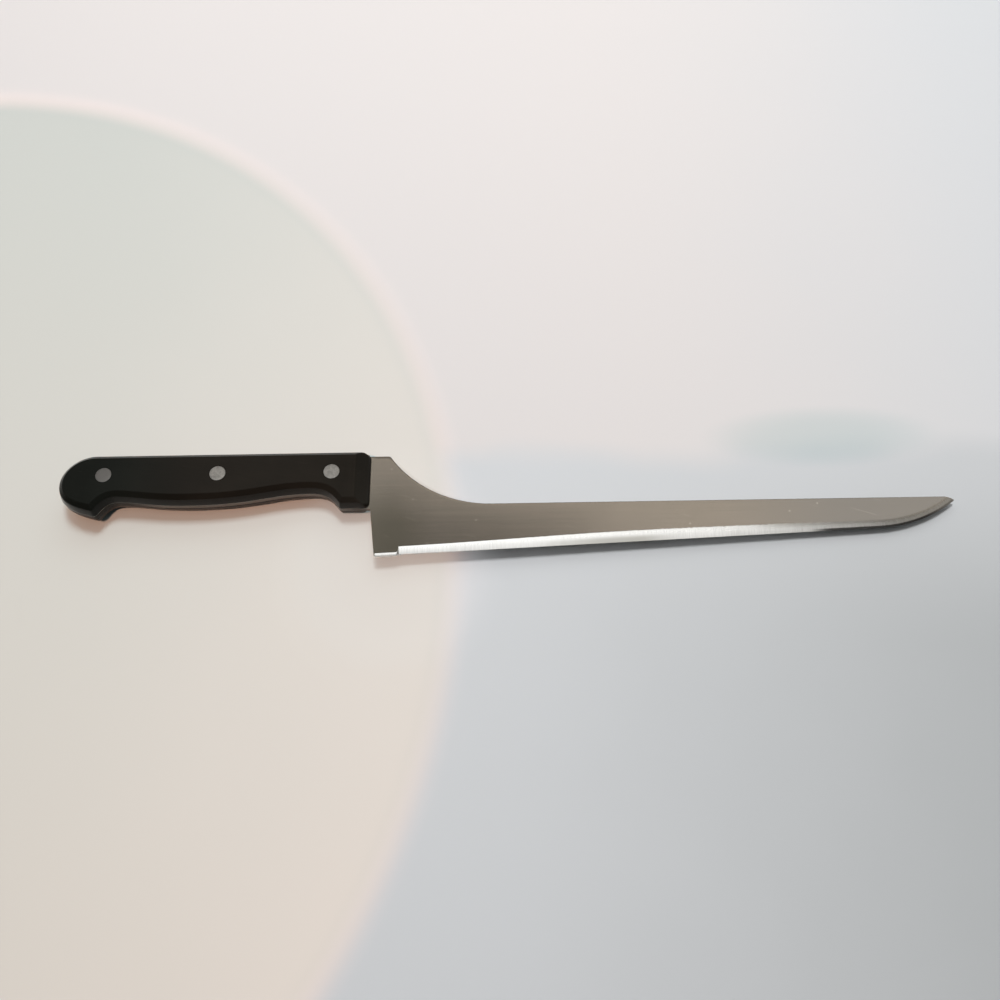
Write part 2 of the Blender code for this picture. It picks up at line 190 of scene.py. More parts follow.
HALF_EDGE = 0.00004
CORNER_EASE = 0.00008
CHAMFER_HEIGHT = 0.0010
CHAMFER_DEPTH = 0.00036
BELLY_POINTS = 80
NOSE_POINTS = 16
CLIP_POINTS = 80
EDGE_STEPS = 100
PLUNGE_STEPS = 40
STRIP_STEPS = 12
HEEL_STEPS = 16
TANG_STEPS = 48


def smooth_step(share):
    """Rise from 0 to 1 that starts and ends level."""
    share = np.clip(share, 0, 1)
    return share * share * (3 - 2 * share)


def edge_line(u):
    """Height of the straight part of the cutting edge at u."""
    return EDGE_RELIEF - HEEL_DEPTH + (u - HEEL_FORWARD) * math.tan(EDGE_ANGLE)


def blade_edges():
    """Lower and upper outline of the steel.

    The lower one runs from the tip back along the belly, the edge, the heel and the tang to the
    handle's rearmost point, and gives the edge's slope at each point. The upper one runs forward from
    there to the tip.
    """
    along, inward = heading(EDGE_ANGLE), heading(EDGE_ANGLE + math.pi / 2)
    corner = np.array([BLADE_LENGTH, -SPINE_DROP - NOSE_DROP])
    start = np.array([GRIND_START, edge_line(GRIND_START)])
    swing = math.acos(1 - (corner - start) @ inward / BELLY_RADIUS)
    belly_start = start + ((corner - start) @ along - BELLY_RADIUS * math.sin(swing)) * along
    arc = np.linspace(swing, 0, BELLY_POINTS)[:, None]
    belly = belly_start + BELLY_RADIUS * (np.sin(arc) * along + (1 - np.cos(arc)) * inward)

    nose_angle = math.acos(1 - NOSE_DROP / NOSE_RADIUS)
    point = turn(corner, -nose_angle, EDGE_ANGLE + swing - math.pi, POINT_RADIUS)
    foremost = int(point[:, 0].argmax())
    nose_arc = np.linspace(0, nose_angle, NOSE_POINTS)
    nose = [BLADE_LENGTH - NOSE_RADIUS * math.sin(nose_angle), -SPINE_DROP - NOSE_RADIUS]
    nose = nose + NOSE_RADIUS * np.column_stack([np.sin(nose_arc), np.cos(nose_arc)])

    clip_angle = math.acos(1 - SPINE_DROP / CLIP_RADIUS)
    clip_start = (CLIP_END - CLIP_RADIUS * math.sin(clip_angle), 0)
    clip_corner = turn(clip_start, 0, -clip_angle, CLIP_CORNER_RADIUS)
    clip_arc = np.linspace(-clip_angle, 0, CLIP_POINTS)
    clip = CLIP_RADIUS * np.column_stack([np.sin(clip_arc), -np.cos(clip_arc)])
    clip = [CLIP_END, CLIP_RADIUS - SPINE_DROP] + clip
    clip = clip[clip[:, 0] > clip_corner[-1, 0]]

    relief_end = GRIND_START - RELIEF_LENGTH
    plunge_end = GRIND_START + 2 * GRIND_PLUNGE
    edge_u = straight(belly_start[0], plunge_end, EDGE_STEPS)[1:]
    plunge_u = straight(plunge_end, relief_end, PLUNGE_STEPS)
    ground_u = np.concatenate([edge_u, plunge_u])
    relief = EDGE_RELIEF * (1 - smooth_step((ground_u - relief_end) / RELIEF_LENGTH))
    heel_up = math.pi / 2 + HEEL_RAKE
    heel = turn((HEEL_FORWARD, -HEEL_DEPTH), EDGE_ANGLE - math.pi, heel_up, HEEL_CORNER_RADIUS)
    tang = turn((HEEL_SETBACK, -FOOT_DEPTH), heel_up, math.pi, TANG_CORNER_RADIUS)
    under = handle_under(0)
    lower = np.vstack([
        point[foremost:],
        belly[belly[:, 0] < point[-1, 0]],
        np.column_stack([ground_u, edge_line(ground_u) - relief]),
        straight((relief_end, edge_line(relief_end) - EDGE_RELIEF), heel[0], STRIP_STEPS),
        heel,
        straight(heel[-1], tang[0], HEEL_STEPS)[1:],
        tang,
        straight(tang[-1], under[0], TANG_STEPS)[1:],
        under,
    ])
    shoulder = front_corner(0)
    shoulder_end = math.sqrt(FRONT_RADIUS ** 2 - (FRONT_RADIUS - HANDLE_RISE) ** 2) - FRONT_RADIUS
    upper = np.vstack([
        butt_top(0),
        shoulder[shoulder[:, 1] > 0],
        (shoulder_end, 0),
        clip_corner,
        clip,
        nose[nose[:, 0] < point[0, 0]],
        point[: foremost + 1],
    ])
    slope = np.interp(lower[:, 0], belly[::-1, 0], EDGE_ANGLE + arc[::-1, 0], left=EDGE_ANGLE)
    return lower, upper, slope


def half_thickness(u):
    """Half of the steel's thickness, which falls evenly from the taper's start to the tip."""
    share = np.clip((u - TAPER_START) / (BLADE_LENGTH - TAPER_START), 0, 1)
    return (BLADE_THICKNESS + (TIP_THICKNESS - BLADE_THICKNESS) * share) / 2


def ground_share(u):
    """Share of the full grind at u: the wheel plunges in over a short length."""
    return smooth_step((u - GRIND_START) / GRIND_PLUNGE + 0.5)


def bevel_height(u):
    """Height of the ground bevel.

    It is a low chamfer along the heel strip, then swells smoothly from the grind's start to the
    middle and falls to the tip.
    """
    heel_share = smooth_step((u - GRIND_START) / (GRIND_MIDDLE - GRIND_START))
    tip_share = smooth_step((u - GRIND_MIDDLE) / (BLADE_LENGTH - GRIND_MIDDLE))
    height = GRIND_HEIGHT_HEEL + (GRIND_HEIGHT_MIDDLE - GRIND_HEIGHT_HEEL) * heel_share
    height = height + (GRIND_HEIGHT_TIP - GRIND_HEIGHT_MIDDLE) * tip_share
    return CHAMFER_HEIGHT + (height - CHAMFER_HEIGHT) * ground_share(u)


def ground_away(u, distance):
    """Steel ground off one side, by the distance from the edge.

    The bevel leaves half the edge at its foot and meets the flat at its height. What it takes off
    falls as a power of the share of the height still above, so the bevel is slightly convex. The
    softened corner is the mean of a value and the root of its square plus a softness squared.
    Along the heel strip it takes off the chamfer alone, and behind the heel nothing.
    """
    foot = CHAMFER_DEPTH + (half_thickness(u) - HALF_EDGE - CHAMFER_DEPTH) * ground_share(u)
    proud = foot * (1 - distance / bevel_height(u))
    share = (proud + np.sqrt(proud ** 2 + GRIND_SOFTNESS ** 2)) / (2 * foot)
    return foot * share ** GRIND_SWELL * strip_share(u)


def strip_share(u):
    """Share of the grind or chamfer at u, which starts softly at the heel."""
    return smooth_step((u - HEEL_FORWARD) / GRIND_PLUNGE)


def placed(u, v, w):
    """Points in the frame from the knife's own forward, up and outward coordinates."""
    u, v, w = np.broadcast_arrays(u, v, w)
    return np.stack([FRONT + u, SPINE + v, MIDDLE + w], axis=-1)


WELD = 0.000002
SHARP = math.radians(40)


def quads(points, start, keep=None):
    """Corner numbers of a grid's quads, without the ones that a mask leaves out."""
    rows, columns = points.shape[:2]
    corner = start + np.arange(rows * columns).reshape(rows, columns)[:-1, :-1]
    faces = np.stack([corner, corner + 1, corner + columns + 1, corner + columns], axis=-1)
    return (faces[keep] if keep is not None else faces).reshape(-1, 4)


def skinned(name, grids, masks=None, traits=None):
    """Object whose mesh joins grids of points: quads inside each grid, welded where grids meet.

    A trait is a value at each point of each grid, which the material reads by its name.
    """
    masks = masks or [None] * len(grids)
    starts = np.cumsum([0] + [grid.shape[0] * grid.shape[1] for grid in grids])
    faces = np.vstack([quads(grid, start, keep) for grid, start, keep in zip(grids, starts, masks)])
    mesh = bpy.data.meshes.new(name)
    mesh.from_pydata(np.vstack([grid.reshape(-1, 3) for grid in grids]).tolist(), [], faces.tolist())
    for trait, values in (traits or {}).items():
        values = np.concatenate([value.ravel() for value in values]).astype(np.float32)
        mesh.attributes.new(trait, "FLOAT", "POINT").data.foreach_set("value", values)
    bm = bmesh.new()
    bm.from_mesh(mesh)
    bmesh.ops.remove_doubles(bm, verts=bm.verts, dist=WELD)
    loose = [vert for vert in bm.verts if not vert.link_faces]
    bmesh.ops.delete(bm, geom=loose, context="VERTS")
    bmesh.ops.recalc_face_normals(bm, faces=bm.faces)
    bm.to_mesh(mesh)
    bm.free()
    mesh.shade_smooth()
    mesh.set_sharp_from_angle(angle=SHARP)
    piece = bpy.data.objects.new(name, mesh)
    bpy.context.scene.collection.objects.link(piece)
    return piece


RIVET_NAMES = ("front", "middle", "rear")
RIVET_FORWARD = 0.0147
RIVET_PITCH = 0.0446
RIVET_DEPTH = 0.0091
RIVET_PLACES = [
    (-RIVET_FORWARD - number * RIVET_PITCH, -RIVET_DEPTH) for number in range(len(RIVET_NAMES))
]
SLEEVE_RADIUS = 0.0021
BORE_MARGIN = 0.0006


def bored(near, far, centre, profile):
    """Wall of a hole between two faces whose grids match, and the mask of the quads that stay.

    The grids' rows run upwards. A block of quads round the centre is left out, and the block's rim in
    the near face runs in circles, one for each radius and height of the profile, to its rim in the
    far face.
    """
    reach = max(radius for radius, _ in profile) + BORE_MARGIN
    away = near[..., :2] - placed(*centre, 0.0)[:2]
    first, last = np.flatnonzero(np.abs(away[0, :, 0]) < reach)[[0, -1]] + [-1, 1]
    band = away[:, first : last + 1, 1]
    low = np.flatnonzero((band < -reach).all(axis=1))[-1]
    high = np.flatnonzero((band > reach).all(axis=1))[0]

    def rim(grid):
        """The block's rim in one grid, once round."""
        return np.vstack([
            grid[low, first:last],
            grid[low:high, last],
            grid[high, last:first:-1],
            grid[high:low:-1, first],
            grid[low, first][None],
        ])

    top, bottom = rim(near), rim(far)
    out = top[:, :2] - placed(*centre, 0.0)[:2]
    out /= np.linalg.norm(out, axis=1, keepdims=True)
    circles = [
        np.column_stack([placed(*centre, 0.0)[:2] + radius * out, np.full(len(out), MIDDLE + height)])
        for radius, height in profile
    ]
    keep = np.ones((near.shape[0] - 1, near.shape[1] - 1), bool)
    keep[low:high, first:last] = False
    return np.stack([top, *circles, bottom]), keep


# Rows of the blade's grids: up the bevel, as shares of its height, and counts for the rest.
BEVEL_ROWS = np.array([0.06, 0.15, 0.3, 0.45, 0.6, 0.75, 0.87, 0.94, 0.98, 1.0, 1.02, 1.06, 1.13, 1.3])
FLAT_ROWS = 24
EASE_ROWS = 4
EASES_ACROSS = 6
WIDEST_BEVEL = 0.4
OFF_BEVEL = 2.0

lower, upper, edge_slope = blade_edges()
u = lower[:, 0]
width = np.interp(u, upper[:, 0], upper[:, 1]) - lower[:, 1]
ease = np.minimum(CORNER_EASE, width / EASES_ACROSS)
ease = np.where(u > GRIND_START - GRIND_PLUNGE, np.minimum(ease, HALF_EDGE / 2), ease)
quarter = np.linspace(0, math.pi / 2, EASE_ROWS + 1)[:, None]
from_edge = ease * (1 - np.cos(quarter))
steep = np.cos(edge_slope)
bevel_rows = ease + np.minimum(bevel_height(u) / steep, WIDEST_BEVEL * width) * BEVEL_ROWS[:, None]
share = np.linspace(0, 1, FLAT_ROWS + 1)[1:, None]
flat_rows = bevel_rows[-1] + (width - ease - bevel_rows[-1]) * share
up = np.vstack([from_edge, bevel_rows, flat_rows, (width - from_edge[::-1])[1:]])
from_top = np.minimum(width - up, ease)
eased = 2 * ease - np.sqrt(np.maximum(ease ** 2 - (ease - np.minimum(up, ease)) ** 2, 0))
eased -= np.sqrt(np.maximum(ease ** 2 - (ease - from_top) ** 2, 0))
depth = ground_away(u, up * steep)
out = half_thickness(u) - depth - eased
v = lower[:, 1] + up

faces = [placed(u, v, side * out) for side in (1, -1)]
rims = [np.stack([faces[0][row], placed(u, v[row], 0.0), faces[1][row]]) for row in (0, -1)]
tang_bore = [(SLEEVE_RADIUS, BLADE_THICKNESS / 2), (SLEEVE_RADIUS, -BLADE_THICKNESS / 2)]
bores, keeps = zip(*[bored(*faces, place, tang_bore) for place in RIVET_PLACES])
keep = np.all(keeps, axis=0)
on_edge = (u > 0) & (lower[:, 1] < edge_line(u) + GRIND_PLUNGE)
bevel_share = np.minimum(up * steep / bevel_height(u), OFF_BEVEL)
bevel_share = OFF_BEVEL - (OFF_BEVEL - bevel_share) * strip_share(u)
bevel_share[0] = np.where(on_edge, 0, bevel_share[0])
punched = np.zeros_like(up)
punched[0], punched[-1] = ~on_edge, 1
grids = [*faces, *rims, *bores]
blade = skinned("ground_blade", grids, [keep, keep] + [None] * 5, {
    "bevel_share": [
        bevel_share, bevel_share, np.tile(bevel_share[0], (3, 1)), np.full((3, len(u)), OFF_BEVEL),
        *[np.full(bore.shape[:2], OFF_BEVEL) for bore in bores],
    ],
    "punched": [
        punched, punched, np.tile(punched[0], (3, 1)), np.ones((3, len(u))),
        *[np.ones(bore.shape[:2]) for bore in bores],
    ],
})


class Shade:
    """One output of a material's nodes. Arithmetic on it adds Math nodes to the same material."""

    def __init__(self, socket):
        self.socket = socket
        self.tree = socket.id_data

    def node(self, kind, settings, inputs, output=0):
        """Add a node: its settings come first, then its values and links."""
        node = self.tree.nodes.new(kind)
        for name, value in settings.items():
            setattr(node, name, value)
        for name, value in inputs.items():
            if isinstance(value, Shade):
                self.tree.links.new(value.socket, node.inputs[name])
            else:
                node.inputs[name].default_value = value
        return Shade(node.outputs[output])

    def math(self, operation, first, second):
        """A Math node on two values."""
        return self.node("ShaderNodeMath", {"operation": operation}, {0: first, 1: second})

    def __add__(self, other):
        return self.math("ADD", self, other)

    def __sub__(self, other):
        return self.math("SUBTRACT", self, other)

    def __rsub__(self, other):
        return self.math("SUBTRACT", other, self)

    def __mul__(self, other):
        return self.math("MULTIPLY", self, other)

    __radd__ = __add__
    __rmul__ = __mul__

    def between(self, low, high):
        """Smooth mask that rises from 0 at the low value to 1 at the high one."""
        settings = {"interpolation_type": "SMOOTHSTEP"}
        inputs = {"Value": self, "From Min": low, "From Max": high}
        return self.node("ShaderNodeMapRange", settings, inputs)

    def within(self, bounds):
        """Mask that rises smoothly between the first two bounds and falls between the last two."""
        return self.between(*bounds[:2]) * (1 - self.between(*bounds[-2:]))

    def mixed(self, first, second):
        """Colour between two colours, by this value."""
        return self.node("ShaderNodeMix", {"data_type": "RGBA"}, {0: self, 6: first, 7: second}, output=2)

    def stretched(self, scale, turned=0.0):
        """These coordinates turned about the outward axis and then multiplied, for a grain."""
        spun = self.node(
            "ShaderNodeVectorRotate", {"rotation_type": "Z_AXIS"}, {"Vector": self, "Angle": turned}
        )
        return self.node("ShaderNodeVectorMath", {"operation": "MULTIPLY"}, {0: spun, 1: scale})

    def noise(self, scale=1.0, detail=2.0, rough=0.5):
        """Noise from 0 to 1 at these coordinates."""
        inputs = {"Vector": self, "Scale": scale, "Detail": detail, "Roughness": rough}
        return self.node("ShaderNodeTexNoise", {}, inputs)

    def speckle(self, scale):
        """Distance to the nearest of points scattered over a plane, in cells of one over the scale."""
        settings = {"voronoi_dimensions": "2D"}
        return self.node("ShaderNodeTexVoronoi", settings, {"Vector": self, "Scale": scale})

    def trait(self, name):
        """A trait of the mesh at this place, by its name."""
        settings = {"attribute_type": "GEOMETRY", "attribute_name": name}
        return self.node("ShaderNodeAttribute", settings, {}, "Fac")

    def bump(self, height):
        """Surface normal that a height field in metres gives."""
        return self.node("ShaderNodeBump", {}, {"Height": height, "Distance": 1.0, "Strength": 1.0})

    def distance(self, middle, stretch):
        """Distance from a point to these coordinates, once the difference is multiplied by a stretch."""
        away = self.node("ShaderNodeVectorMath", {"operation": "SUBTRACT"}, {0: self, 1: middle})
        away = away.node("ShaderNodeVectorMath", {"operation": "MULTIPLY"}, {0: away, 1: stretch})
        return away.node("ShaderNodeVectorMath", {"operation": "LENGTH"}, {0: away}, "Value")

    def near(self, middle, stretch, reach):
        """Mask that falls smoothly with the square of the distance: 1 at a point, 0 past the reach."""
        away = self.distance(middle, stretch)
        return 1 - (away * away).between(0.0, reach ** 2)

    def tinted(self, colour, tone):
        """Colour multiplied by a tone, by this value."""
        settings = {"data_type": "RGBA", "blend_type": "MULTIPLY"}
        return self.node("ShaderNodeMix", settings, {0: self, 6: colour, 7: tone}, output=2)

    def along(self, axis):
        """One of these coordinates, by its axis."""
        return self.node("ShaderNodeSeparateXYZ", {}, {0: self}, axis)


MILLIMETRES = 1000.0


def finish(name, metallic, specular):
    """Material with one Principled shader; returns it, the shader and its coordinates in millimetres."""
    material = bpy.data.materials.new(name)
    material.use_nodes = True
    shader = material.node_tree.nodes["Principled BSDF"]
    shader.inputs["Metallic"].default_value = metallic
    shader.inputs["Specular IOR Level"].default_value = specular
    coordinates = Shade(material.node_tree.nodes.new("ShaderNodeTexCoord").outputs["Object"])
    millimetres = coordinates.node(
        "ShaderNodeVectorMath", {"operation": "SCALE"}, {0: coordinates, "Scale": MILLIMETRES}
    )
    return material, shader, millimetres


def feed(shader, **links):
    """Link shades to the shader's inputs, whose names are written with underscores."""
    for name, value in links.items():
        value.tree.links.new(value.socket, shader.inputs[name.replace("_", " ")])


# FORWARD and UPWARD give where a change lies in the frame, in millimetres, and SHARE how far up the
# bevel, from 0 at the edge to 1 at its upper border.
FLAT_LIGHT = (0.590, 0.540, 0.485, 1)
FLAT_DARK = (0.510, 0.480, 0.430, 1)
# The next colours and places, down to the shaded tone, paint shade on the flats: darker low down at the
# heel and dimmer at the tip.
FLAT_HEEL_SHADE = (0.340, 0.322, 0.272, 1)
FLAT_TIP = (0.460, 0.455, 0.445, 1)
HEEL_SHADE_FORWARD = (-46.0, -24.0)
HEEL_SHADE_UPWARD = (-12.0, 14.0)
TIP_FORWARD = (70.0, 140.0)
SHADED_FORWARD = (-10.0, 60.0)
SHADED_UPWARD = (-13.0, 2.0)
SHADED_TONE = (0.83, 0.83, 0.83, 1)
BEVEL_LIGHT = (0.94, 0.94, 0.92, 1)
BEVEL_DARK = (0.70, 0.70, 0.68, 1)
PUNCHED_STEEL = (0.150, 0.126, 0.110, 1)
RIM_BLACK = (0.018, 0.016, 0.014, 1)
# Painted dark reflection on a honed band next to the edge towards the tip.
HONED_DARK_REFLECTION = (0.09, 0.09, 0.088, 1)
# Painted shade dims the bevel low down at the blade's middle.
PAINTED_BEVEL_SHADE = (0.50, 0.495, 0.46, 1)
PAINTED_BEVEL_SHADE_FORWARD = (0.0, 42.0, 50.0, 72.0)
PAINTED_BEVEL_SHADE_SHARE = (0.25, 0.75)
SCRATCHED = (0.80, 0.77, 0.72, 1)
SCRATCHES_SHOW = 0.35
SPECKS_SHOW = 0.45
BUTT_DARKENING = (-149.0, -132.0)
ROOT_DARKENING = (-73.0, -69.0, -66.0)
ROOT_BLACK = 0.7
FOOT_DARKENING = (-66.0, -57.0, -54.0, -53.0)
FOOT_BLACK = 0.6
# Where the painted dark reflection next to the edge lies, and how much of it is lost towards the tip.
DARK_REFLECTION_FROM = (116.0, 126.0)
DARK_REFLECTION_TO = (160.0, 178.0)
DARK_REFLECTION_LOSS = 0.7
DARK_REFLECTION_SHARE = (0.20, 0.30)
DARK_REFLECTION_WANDER = 0.1
# Painted shade dims the bevel along the belly and at its top further forward.
BELLY_FORWARD = (100.0, 148.0)
BELLY_TONE = (0.72, 0.71, 0.70, 1)
FADE_FORWARD = (88.0, 112.0)
FADE_SHARE = (0.4, 0.85)
FADE_TONE = (0.72, 0.71, 0.69, 1)

# GRAIN gives repeats in a millimetre along, up and outwards, DEPTH the relief in metres, and TONES
# between which values a sum of patterns, with weights that add up to 1, goes from dark to light.
BRUSHING_GRAIN = (0.03, 12.0, 12.0)
BRUSHING_DEPTH = 0.0000006
STREAK_GRAIN = (0.02, 1.3, 1.3)
CLOUD_GRAIN = 0.07
GRINDING_GRAIN = (3.2, 0.12, 0.12)
GRINDING_DEPTH = 0.0000015
BAND_GRAIN = (0.10, 0.3, 0.3)
SCRATCH_GRAIN = (0.05, 1.5, 1.5)
SCRATCH_TURN = 0.35
SCRATCH_CUT = (0.72, 0.75)
SPECK_GRAIN = 0.045
SPECK_RIM = (0.012, 0.026)
BORDER_WANDER = 6.0
TEETH_GRAIN = (1.3, 0.15, 0.15)
TEETH_FORWARD = (-20.0, 60.0)
LEAST_TEETH = 0.08
MORE_TEETH = 0.36
GRINDING_TEETH = 0.16
GROUND_SHARE = (0.96, 1.02)
FLAT_TONES = (0.3, 0.7)
BEVEL_TONES = (0.28, 0.66)

# Roughness of the flats, what the edge, the rim and the streaks add, and what is lost up the bevel.
FLAT_ROUGHNESS = 0.2
EDGE_ADDS = 0.12
PUNCHED_ADDS = 0.15
STREAKS_ADD = 0.05
BEVEL_LOSES = 0.07

steel, shader, place = finish("brushed_steel", metallic=1.0, specular=0.5)
bevel_share = place.trait("bevel_share")
punched = place.trait("punched")
brushing = place.stretched(BRUSHING_GRAIN).noise(detail=3.0, rough=0.6)
streaks = place.stretched(STREAK_GRAIN).noise(detail=3.0, rough=0.6)
clouds = place.noise(CLOUD_GRAIN, detail=3.0)
grinding = place.stretched(GRINDING_GRAIN).noise(detail=4.0, rough=0.7)
bands = place.stretched(BAND_GRAIN).noise()
scratches = place.stretched(SCRATCH_GRAIN, SCRATCH_TURN).noise().between(*SCRATCH_CUT)
specks = 1 - place.speckle(SPECK_GRAIN).between(*SPECK_RIM)
forward = place.along("X") + BORDER_WANDER * (clouds - 0.5)

# The grind's upper border is feathered by the grinding and by coarser teeth, which grow forwards.
teeth = place.stretched(TEETH_GRAIN).noise(detail=3.0, rough=0.6) - 0.5
feather = GRINDING_TEETH * (grinding - 0.5)
feather = feather + (LEAST_TEETH + MORE_TEETH * forward.between(*TEETH_FORWARD)) * teeth
is_ground = 1 - (bevel_share + feather).between(*GROUND_SHARE)

# The flats are brushed and streaked. Painted shade darkens them low down, most at the heel and fading
# forwards, and dims them to grey at the tip.
flat_tone = (0.35 * brushing + 0.4 * streaks + 0.25 * clouds).between(*FLAT_TONES)
heel_painted_shade = (1 - forward.between(*HEEL_SHADE_FORWARD)) * (1 - place.along("Y").between(*HEEL_SHADE_UPWARD))
flat_colour = forward.between(*TIP_FORWARD).mixed(flat_tone.mixed(FLAT_DARK, FLAT_LIGHT), FLAT_TIP)
shaded = (1 - forward.between(*SHADED_FORWARD)) * (1 - place.along("Y").between(*SHADED_UPWARD))
flat_colour = shaded.tinted(flat_colour, SHADED_TONE)
marks = SCRATCHES_SHOW * scratches + SPECKS_SHOW * specks
flat_colour = marks.mixed(heel_painted_shade.mixed(flat_colour, FLAT_HEEL_SHADE), SCRATCHED)
# The bevel's tone follows its grinding and bands, and a painted highlight makes it lighter towards its
# top.
bevel_tone = (0.55 * grinding + 0.2 * bands + 0.25 * bevel_share).between(*BEVEL_TONES)
bevel_colour = bevel_tone.mixed(BEVEL_DARK, BEVEL_LIGHT)
relief = (1 - is_ground) * brushing * BRUSHING_DEPTH + is_ground * grinding * GRINDING_DEPTH

# The punched rim is darkened to near black at the butt, and in part at the handle's foot and just behind
# it.
root_darkening = forward.within(ROOT_DARKENING)
foot_darkening = forward.within(FOOT_DARKENING)
undarkened = forward.between(*BUTT_DARKENING) * (1 - ROOT_BLACK * root_darkening) * (1 - FOOT_BLACK * foot_darkening)
punched_colour = (1 - undarkened).mixed(PUNCHED_STEEL, RIM_BLACK)

# The bright bevel's reflection is painted dimmer low down at the blade's middle, at its top further
# forward and along the belly, as painted shade. Next to the edge towards the tip, a honed band is
# painted near black, a painted dark reflection.
painted_low_bevel_shade = forward.within(PAINTED_BEVEL_SHADE_FORWARD) * (1 - bevel_share.between(*PAINTED_BEVEL_SHADE_SHARE))
# The honed band next to the edge is painted near black, a painted dark reflection.
honed_dark_reflection = 1 - (bevel_share + DARK_REFLECTION_WANDER * (grinding - 0.5)).between(*DARK_REFLECTION_SHARE)
honed_dark_reflection = honed_dark_reflection * forward.between(*DARK_REFLECTION_FROM) * (1 - DARK_REFLECTION_LOSS * forward.between(*DARK_REFLECTION_TO))
fade = forward.between(*FADE_FORWARD) * bevel_share.between(*FADE_SHARE)
bevel_colour = fade.tinted(bevel_colour, FADE_TONE)
bevel_colour = forward.between(*BELLY_FORWARD).tinted(bevel_colour, BELLY_TONE)
bevel_colour = honed_dark_reflection.mixed(painted_low_bevel_shade.mixed(bevel_colour, PAINTED_BEVEL_SHADE), HONED_DARK_REFLECTION)
feed(
    shader,
    Base_Color=punched.mixed(is_ground.mixed(flat_colour, bevel_colour), punched_colour),
    Roughness=(
        FLAT_ROUGHNESS + is_ground * (EDGE_ADDS - BEVEL_LOSES * bevel_share)
        + PUNCHED_ADDS * punched + STREAKS_ADD * (streaks - 0.5)
    ),
    Normal=place.bump(relief),
)
blade.data.materials.append(steel)
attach(blade, "root")
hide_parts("blade")


# Handle scales
#
# Two black plastic scales, moulded alike and mirrored, one on each side of the tang. Each has a flat
# side, a wide bevel round it, a sloping front end and counterbored holes for the rivets, which hold it.

SCALE_THICKNESS = scale_high.z - blade_high.z
SIDE_LAND = 0.0005
WALL_TOP = (0.00083, 0.0037)
WALL_TOP_RADIUS = 0.0012
BEVEL_INSET = 0.00265
ARRIS_RADIUS = 0.00025
GUARD_INSET = 0.0001
FRONT_SLOPE_LENGTH = 0.0055
FRONT_WALL = 0.0009
FRONT_BLEND = 0.0004
LAND_STEPS = 3
SIDE_STEPS = 8
FRONT_STEPS = 24
FLAT_SHARES = np.linspace(0, 1, 25)
HEAD_RADIUS = 0.0031
HEAD_THICKNESS = 0.0012
HEAD_GAP = 0.00002
HEAD_RECESS = 0.00003
RIM_EASE = 0.00006
RIM_MARGIN = 4 * RIM_EASE
RIM_MIDDLE = 0.3 * RIM_EASE


def scale_section():
    """Inset and rise of a scale's side, from the tang out to the flat side: land, wall, bevel, arris."""
    land = (0.0, SIDE_LAND)
    arris = (BEVEL_INSET, SCALE_THICKNESS)
    draft = math.atan2(WALL_TOP[1] - land[1], WALL_TOP[0])
    bevel = math.atan2(arris[1] - WALL_TOP[1], arris[0] - WALL_TOP[0])
    points = np.vstack([
        straight((0.0, 0.0), land, LAND_STEPS),
        land,
        turn(WALL_TOP, draft, bevel, WALL_TOP_RADIUS, steps=10),
        straight(WALL_TOP, arris, SIDE_STEPS)[SIDE_STEPS // 2 :],
        turn(arris, bevel, 0, ARRIS_RADIUS, steps=5),
        (BEVEL_INSET + GUARD_INSET, SCALE_THICKNESS),
    ])
    return points[np.append(True, np.diff(points[:, 1]) >= 0)]


def scale_side(inset):
    """Lower and upper outline of a scale at an inset, as matching columns from the front to the butt."""
    under = handle_under(inset)
    low_corner = turn((0, -FOOT_DEPTH), -math.pi / 2, -math.pi, FRONT_RADIUS, inset)
    low = np.vstack([low_corner, straight(low_corner[-1], under[0], FRONT_STEPS)[1:], under])
    top = np.vstack([butt_top(inset), front_corner(inset)])
    high = np.column_stack([low[:, 0], np.interp(low[:, 0], top[:, 0], top[:, 1])])
    return low, high


def under_slope(u, rise):
    """Rise held under the front slope, with a rounded corner.

    It is the lesser of the two heights, less a quarter of the blend times the square of their
    closeness within it.
    """
    slope = FRONT_WALL - u * (SCALE_THICKNESS - FRONT_WALL) / FRONT_SLOPE_LENGTH
    closeness = np.maximum(FRONT_BLEND - np.abs(rise - slope), 0) / FRONT_BLEND
    return np.minimum(rise, slope) - FRONT_BLEND * closeness ** 2 / 4


def scale_grids(side):
    """The grids of one scale: two walls, flat side, back and front end, on one side of the tang."""
    section = scale_section()
    outlines = [scale_side(inset) for inset, _ in section]
    low = np.array([outline[0] for outline in outlines])
    high = np.array([outline[1] for outline in outlines])
    rise = section[:, 1][:, None]

    def at(points, rise):
        """Points in the frame, under the front slope."""
        height = BLADE_THICKNESS / 2 + under_slope(points[..., 0], rise)
        return placed(points[..., 0], points[..., 1], side * height)

    share = FLAT_SHARES[:, None, None]
    flat = low[-1] + (high[-1] - low[-1]) * share
    back = low[0] + (high[0] - low[0]) * share
    end = low[:, 0] + (high[:, 0] - low[:, 0]) * share
    return [at(low, rise), at(high, rise), at(end, rise[:, 0]), at(flat, SCALE_THICKNESS), at(back, 0.0)]


